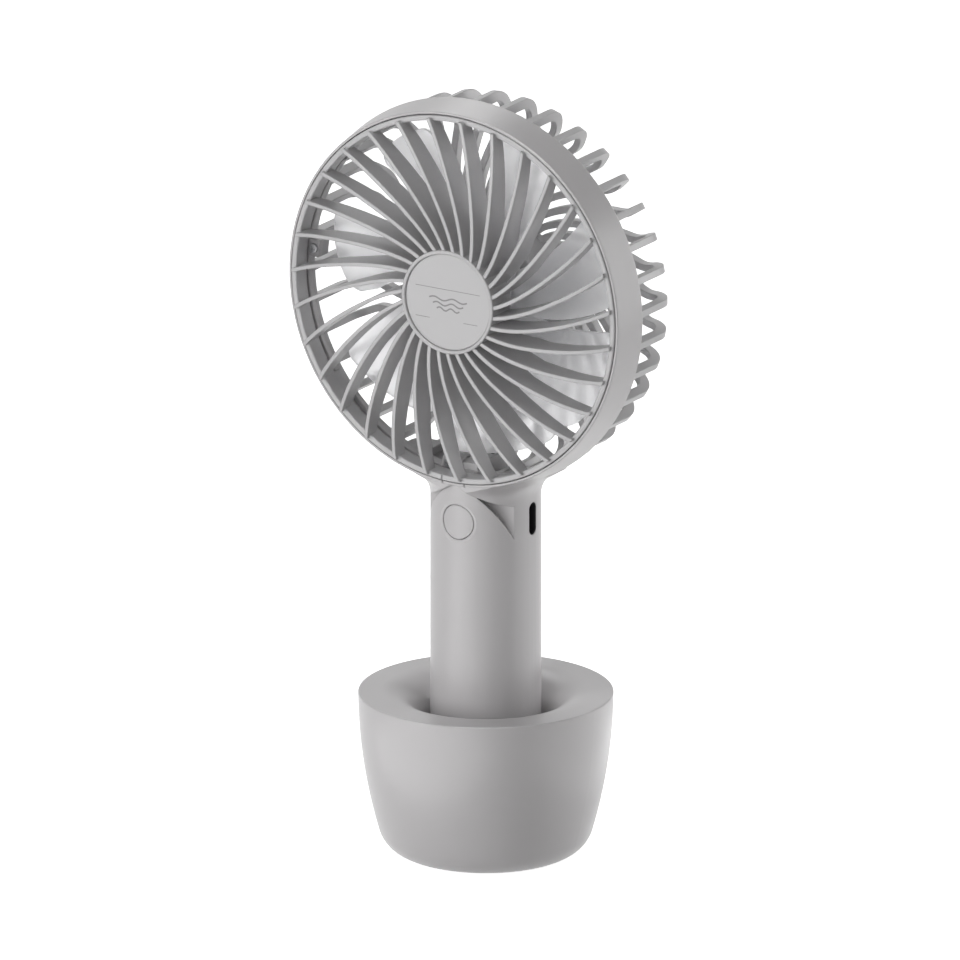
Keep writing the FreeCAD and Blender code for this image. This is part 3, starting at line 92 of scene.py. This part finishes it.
def grained(name, rgb, roughness, grain):
    """Moulded plastic with a fine spark-eroded grain and edges that look slightly rounded."""
    grain_size, grain_depth = grain
    material = plain(name, rgb, roughness)
    tree = material.node_tree
    shader = tree.nodes["Principled BSDF"]
    place = tree.nodes.new("ShaderNodeTexCoord")

    soft_edge = tree.nodes.new("ShaderNodeBevel")
    soft_edge.samples = EDGE_SAMPLES
    soft_edge.inputs["Radius"].default_value = EDGE_SOFTNESS
    bump = tree.nodes.new("ShaderNodeBump")
    bump.inputs["Strength"].default_value = GRAIN_STRENGTH
    bump.inputs["Distance"].default_value = grain_depth
    tree.links.new(soft_edge.outputs["Normal"], bump.inputs["Normal"])
    tree.links.new(noise(tree, place, 1 / grain_size, GRAIN_DETAIL), bump.inputs["Height"])
    tree.links.new(bump.outputs["Normal"], shader.inputs["Normal"])

    tint = tree.nodes.new("ShaderNodeMix")
    tint.data_type = "RGBA"
    base = colour(*rgb)
    tint.inputs["A"].default_value = [c * (1 - CLOUD_TINT) for c in base[:3]] + [1.0]
    tint.inputs["B"].default_value = [c * (1 + CLOUD_TINT) for c in base[:3]] + [1.0]
    tree.links.new(noise(tree, place, CLOUD_SCALE, CLOUD_DETAIL), tint.inputs["Factor"])
    tree.links.new(tint.outputs["Result"], shader.inputs["Base Color"])
    return material


def frosted(name, rgb, roughness, see_through):
    """Milky plastic that lets some light through."""
    material = plain(name, rgb, roughness)
    shader = material.node_tree.nodes["Principled BSDF"]
    shader.inputs["Transmission Weight"].default_value = see_through
    shader.inputs["IOR"].default_value = FROSTED_IOR
    return material


shell = grained("satin_grey", SATIN_GREY, 0.33, FINE_GRAIN)
dock_grey = grained("dock_grey", SATIN_GREY, 0.33, FINE_GRAIN)
ribs = grained("rib_grey", (182, 181, 182), 0.36, COARSE_GRAIN)
badge = grained("badge_grey", (184, 183, 184), 0.40, COARSE_GRAIN)
milky = frosted("milky_plastic", (250, 250, 251), 0.45, see_through=0.70)
inner = plain("inner_plastic", (205, 205, 202), 0.5)
dark = plain("dark_plastic", (38, 38, 40), 0.45)
rubber = plain("foot_rubber", (96, 95, 94), 0.8)
zinc = plain("zinc_steel", (170, 170, 172), 0.35, metallic=1.0)
ground = plain("ground_steel", (195, 195, 197), 0.2, metallic=1.0)
laminated = plain("electrical_steel", (120, 120, 124), 0.45, metallic=1.0)
magnet = plain("magnet_grey", (62, 62, 66), 0.5, metallic=0.6)
copper = plain("copper_wire", (190, 105, 60), 0.3, metallic=1.0)
bronze = plain("bronze", (176, 140, 88), 0.4, metallic=1.0)
gold = plain("contact_gold", (214, 178, 106), 0.25, metallic=1.0)
nickel = plain("nickel_plate", (196, 194, 188), 0.22, metallic=1.0)
board = plain("circuit_board", (22, 88, 58), 0.4)
wrap = plain("cell_wrap", (46, 92, 150), 0.3)
insulation = plain("lead_insulation", (34, 34, 36), 0.5)
black_nickel = plain("black_nickel", (44, 44, 46), 0.4, metallic=0.8)
print_grey = plain("badge_print", (132, 130, 131), 0.5)

LOOKS = {
    "shell_plastic": shell,
    "dock_plastic": dock_grey,
    "grille_plastic": ribs,
    "badge_plastic": badge,
    "impeller_plastic": milky,
    "button_plastic": shell,
    "inner_plastic": inner,
    "dark_plastic": dark,
    "foot_rubber": rubber,
    "screw_steel": zinc,
    "shaft_steel": ground,
    "spring_steel": ground,
    "ballast_steel": zinc,
    "electrical_steel": laminated,
    "magnet": magnet,
    "copper_wire": copper,
    "bronze": bronze,
    "contact_gold": gold,
    "nickel": nickel,
    "circuit_board": board,
    "cell_wrap": wrap,
    "lead_insulation": insulation,
}

for part in frame["record"]["subparts"]:
    for place in nodes[part["node"]].material_slots:
        place.material = LOOKS[part["material_slot"]]
for name in ("usb_socket", "dock_usb_socket"):
    for place in nodes[name].material_slots:
        place.material = black_nickel


def mesh_piece(name, verts, faces, material):
    mesh = bpy.data.meshes.new(name)
    mesh.from_pydata(verts, [], faces)
    mesh.update()
    mesh.materials.append(material)
    piece = bpy.data.objects.new(name, mesh)
    bpy.context.scene.collection.objects.link(piece)
    return piece


# ---------------------------------------------------------------- badge print
# Places on the badge are (x, z) from its centre.
badge_low, badge_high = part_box("hub_badge")
BADGE_FRONT = badge_low.y
BADGE_HEIGHT = (badge_low.z + badge_high.z) / 2
PRINT_THICKNESS = 0.04 * MM
RULE_WIDTH = 0.16 * MM
TOP_RULE = (-10.3 * MM, 10.1 * MM, 3.4 * MM)       # left end, right end and height
LEFT_RULE = (-10.3 * MM, -5.9 * MM, -5.2 * MM)
RIGHT_RULE = (4.9 * MM, 9.3 * MM, -5.2 * MM)
WAVE_COUNT = 3
WAVE_TOP = 0.6 * MM
WAVE_PITCH = 1.4 * MM
WAVE_WIDTH = 0.42 * MM
WAVE_SWING = 0.42 * MM
WAVE_HALF_LENGTH = 6.0 * MM
WAVE_SHORTER = 1.2 * MM                            # each wave than the one above, at each end
WAVE_TURNS = 2
WAVE_STEPS = 24


def ribbon(name, points, width):
    """Thin printed line on the badge."""
    verts = []
    for index, (x, z) in enumerate(points):
        before = points[max(index - 1, 0)]
        after = points[min(index + 1, len(points) - 1)]
        run = after[0] - before[0]
        rise = after[1] - before[1]
        reach = width / 2 / math.hypot(run, rise)
        for side in (1, -1):
            for depth in (0.0, PRINT_THICKNESS):
                verts.append((
                    x - side * rise * reach,
                    BADGE_FRONT - depth,
                    BADGE_HEIGHT + z + side * run * reach,
                ))
    last = 4 * (len(points) - 1)
    faces = []
    for a in range(0, last, 4):
        b = a + 4
        for here, there in ((0, 1), (1, 3), (3, 2), (2, 0)):
            faces.append((a + here, b + here, b + there, a + there))
    faces += [(0, 1, 3, 2), (last, last + 2, last + 3, last + 1)]
    piece = mesh_piece(name, verts, faces, print_grey)
    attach(piece, "grille")


def rule(name, left, right, level):
    ribbon(name, [(left, level), (right, level)], RULE_WIDTH)


def wave(name, half_length, level):
    points = []
    for step in range(WAVE_STEPS + 1):
        share = step / WAVE_STEPS
        swing = WAVE_SWING * math.sin(WAVE_TURNS * math.tau * share)
        points.append((half_length * (2 * share - 1), level + swing))
    ribbon(name, points, WAVE_WIDTH)


rule("badge_rule_top", *TOP_RULE)
rule("badge_rule_left", *LEFT_RULE)
rule("badge_rule_right", *RIGHT_RULE)
for number in range(WAVE_COUNT):
    wave("badge_wave_%d" % number, WAVE_HALF_LENGTH - number * WAVE_SHORTER, WAVE_TOP - number * WAVE_PITCH)

# ---------------------------------------------------------------- painted shade in the USB slot
PAINTED_SHADE_LENGTH = 9.16 * MM
PAINTED_SHADE_WIDTH = 3.46 * MM
PAINTED_SHADE_WALL = 0.12 * MM
PAINTED_SHADE_INNER_END = 12.75 * MM      # from the handle's axis
PAINTED_SHADE_OUTER_END = 14.80 * MM
PAINTED_SHADE_STEPS = 12                  # along each round end


def slot_outline(length, width):
    """Outline of a slot with round ends, as (across, up) pairs."""
    radius = width / 2
    straight = length / 2 - radius
    points = []
    for end, start in ((1, 0.0), (-1, math.pi)):
        for step in range(PAINTED_SHADE_STEPS + 1):
            angle = start + math.pi * step / PAINTED_SHADE_STEPS
            points.append((radius * math.cos(angle), end * straight + radius * math.sin(angle)))
    return points


def slot_painted_shade():
    """Black sleeve, along X, in the USB slot in the handle: painted shade that makes the slot's walls dark.
    """
    low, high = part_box("usb_socket")
    middle_y = (low.y + high.y) / 2
    middle_z = (low.z + high.z) / 2
    outer = slot_outline(PAINTED_SHADE_LENGTH, PAINTED_SHADE_WIDTH)
    inner_side = slot_outline(PAINTED_SHADE_LENGTH - 2 * PAINTED_SHADE_WALL, PAINTED_SHADE_WIDTH - 2 * PAINTED_SHADE_WALL)
    loops = (
        (PAINTED_SHADE_INNER_END, outer),
        (PAINTED_SHADE_INNER_END, inner_side),
        (PAINTED_SHADE_OUTER_END, inner_side),
        (PAINTED_SHADE_OUTER_END, outer),
    )
    verts = [(end, middle_y + across, middle_z + up) for end, outline in loops for across, up in outline]
    count = len(outer)
    faces = []
    for index in range(count):
        after = (index + 1) % count
        for ring in range(len(loops)):
            here = ring * count
            there = (ring + 1) % len(loops) * count
            faces.append((here + index, here + after, there + after, there + index))
    # The sleeve is painted shade: a dark sheet put where the slot only lies in shade.
    piece = mesh_piece("usb_slot_painted_shade", verts, faces, dark)
    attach(piece, "fan")


slot_painted_shade()

# ---------------------------------------------------------------- lamps
MIDDLE = Vector((0, 0, 0.11))     # that the softboxes are aimed at
SOFTBOX_DISTANCE = 0.85
CARD_WIDTH = 0.20
CARD_NEAR = 0.06                  # ends of a floor card, from the dock's axis
CARD_FAR = 0.90
CARD_LIFT = 0.002


def direction(turn, rise):
    """Unit vector from the object towards a point round it."""
    a = math.radians(turn)
    e = math.radians(rise)
    return Vector((math.sin(a) * math.cos(e), -math.cos(a) * math.cos(e), math.sin(e)))


def lamp(name, width, height, power):
    data = bpy.data.lights.new(name, "AREA")
    data.shape = "RECTANGLE"
    data.size = width
    data.size_y = height
    data.energy = power
    piece = bpy.data.objects.new(name, data)
    bpy.context.scene.collection.objects.link(piece)
    return piece


def softbox(name, turn, rise, width, height, power):
    """Lamp on a circle round the object, aimed at its middle."""
    box = lamp(name, width, height, power)
    towards = direction(turn, rise)
    box.location = MIDDLE + towards * SOFTBOX_DISTANCE
    box.rotation_mode = "QUATERNION"
    box.rotation_quaternion = towards.to_track_quat("Z", "Y")
    return box


def gloss_only(piece):
    """Keeps a lamp for the sheen that it gives, without more light on the object."""
    piece.visible_camera = False
    piece.visible_diffuse = False
    piece.visible_transmission = False


def floor_card(name, turn, power):
    """Bright card that lies on the floor and shows only as a sheen on upright gloss."""
    card = lamp(name, CARD_WIDTH, CARD_FAR - CARD_NEAR, power)
    card.location = direction(turn, 0) * (CARD_NEAR + CARD_FAR) / 2 + Vector((0, 0, CARD_LIFT))
    card.rotation_euler = (math.pi, 0, math.radians(turn))
    gloss_only(card)


# name, turn, rise, width, height, power
softbox("key_left", -30, 8, 0.22, 0.60, 3.8)
softbox("front_right", 12, 8, 0.22, 0.60, 1.5)
softbox("rim_right", 135, 8, 0.30, 0.60, 3.5)
softbox("back", 228, 50, 0.50, 0.50, 2.4)
softbox("over_front", 10, 60, 0.50, 0.50, 0.6)
softbox("over_right", 75, 45, 0.50, 0.50, 0.6)
gloss_only(softbox("over_top", 32, 75, 0.60, 0.60, 16.0))
# name, turn, power
floor_card("sheen_left", -17, 1.1)
floor_card("sheen_right", 120, 0.5)

# ---------------------------------------------------------------- background
ROOM_LIGHT = 0.05                 # from all round, on the object
FLOOR_SIZE = 6
FLOOR_COLOUR = (0.75, 0.75, 0.75, 1)
FLOOR_ROUGHNESS = 0.9
FLOOR_GLOW = 0.92
WHITE = (1, 1, 1, 1)


def background_rays(tree):
    """Output that is 1 for the rays that show the background as it is meant to look, and 0 for the rest."""
    path = tree.nodes.new("ShaderNodeLightPath")
    result = path.outputs["Is Camera Ray"]
    for kind in ("Is Glossy Ray", "Is Transmission Ray"):
        either = tree.nodes.new("ShaderNodeMath")
        either.operation = "MAXIMUM"
        tree.links.new(result, either.inputs[0])
        tree.links.new(path.outputs[kind], either.inputs[1])
        result = either.outputs[0]
    return result


def make_world():
    """White behind the object, and a faint light from all round."""
    world = bpy.data.worlds.new("studio")
    bpy.context.scene.world = world
    world.use_nodes = True
    tree = world.node_tree
    soft = tree.nodes["Background"]
    soft.inputs["Color"].default_value = WHITE
    soft.inputs["Strength"].default_value = ROOM_LIGHT
    white = tree.nodes.new("ShaderNodeBackground")
    white.inputs["Color"].default_value = WHITE
    white.inputs["Strength"].default_value = 1.0
    mix = tree.nodes.new("ShaderNodeMixShader")
    tree.links.new(background_rays(tree), mix.inputs["Fac"])
    tree.links.new(soft.outputs[0], mix.inputs[1])
    tree.links.new(white.outputs[0], mix.inputs[2])
    tree.links.new(mix.outputs[0], tree.nodes["World Output"].inputs["Surface"])


def floor_paint():
    """Shows nearly white by itself. The light on it adds the rest, so that shadows stay."""
    material = bpy.data.materials.new("floor_white")
    material.use_nodes = True
    tree = material.node_tree
    shader = tree.nodes["Principled BSDF"]
    shader.inputs["Base Color"].default_value = FLOOR_COLOUR
    shader.inputs["Roughness"].default_value = FLOOR_ROUGHNESS
    shader.inputs["Specular IOR Level"].default_value = 0.0
    glow = tree.nodes.new("ShaderNodeEmission")
    glow.inputs["Color"].default_value = WHITE
    level = tree.nodes.new("ShaderNodeMath")
    level.operation = "MULTIPLY"
    level.inputs[1].default_value = FLOOR_GLOW
    tree.links.new(background_rays(tree), level.inputs[0])
    tree.links.new(level.outputs[0], glow.inputs["Strength"])
    both = tree.nodes.new("ShaderNodeAddShader")
    tree.links.new(shader.outputs[0], both.inputs[0])
    tree.links.new(glow.outputs[0], both.inputs[1])
    tree.links.new(both.outputs[0], tree.nodes["Material Output"].inputs["Surface"])
    return material


def make_floor():
    bpy.ops.mesh.primitive_plane_add(size=FLOOR_SIZE, location=(0, 0, 0))
    floor = bpy.context.object
    floor.name = "floor"
    floor.data.materials.append(floor_paint())


make_world()
make_floor()

# ---------------------------------------------------------------- camera
CAMERA_TURN = 32.2
CAMERA_RISE = 17.08
CAMERA_DISTANCE = 1.5
CAMERA_CLIP_START = 0.01
CAMERA_CLIP_END = 20
FRAME_WIDTH = 258.74 * MM         # width of the picture at the object
AIM_RIGHT = -1.577 * MM           # middle of the picture, from the centre of the dock's foot
AIM_UP = 99.99 * MM


def make_camera():
    """Camera without perspective, as if through a very long lens."""
    data = bpy.data.cameras.new("camera")
    data.type = "ORTHO"
    data.ortho_scale = FRAME_WIDTH
    data.clip_start = CAMERA_CLIP_START
    data.clip_end = CAMERA_CLIP_END
    camera = bpy.data.objects.new("camera", data)
    bpy.context.scene.collection.objects.link(camera)
    towards_camera = direction(CAMERA_TURN, CAMERA_RISE)
    to_right = direction(CAMERA_TURN + 90, 0)
    to_top = towards_camera.cross(to_right)
    aim = to_right * AIM_RIGHT + to_top * AIM_UP
    camera.location = aim + towards_camera * CAMERA_DISTANCE
    camera.rotation_mode = "QUATERNION"
    camera.rotation_quaternion = towards_camera.to_track_quat("Z", "Y")
    bpy.context.scene.camera = camera


make_camera()
bpy.context.scene.view_settings.view_transform = "Standard"

bpy.context.view_layer.update()
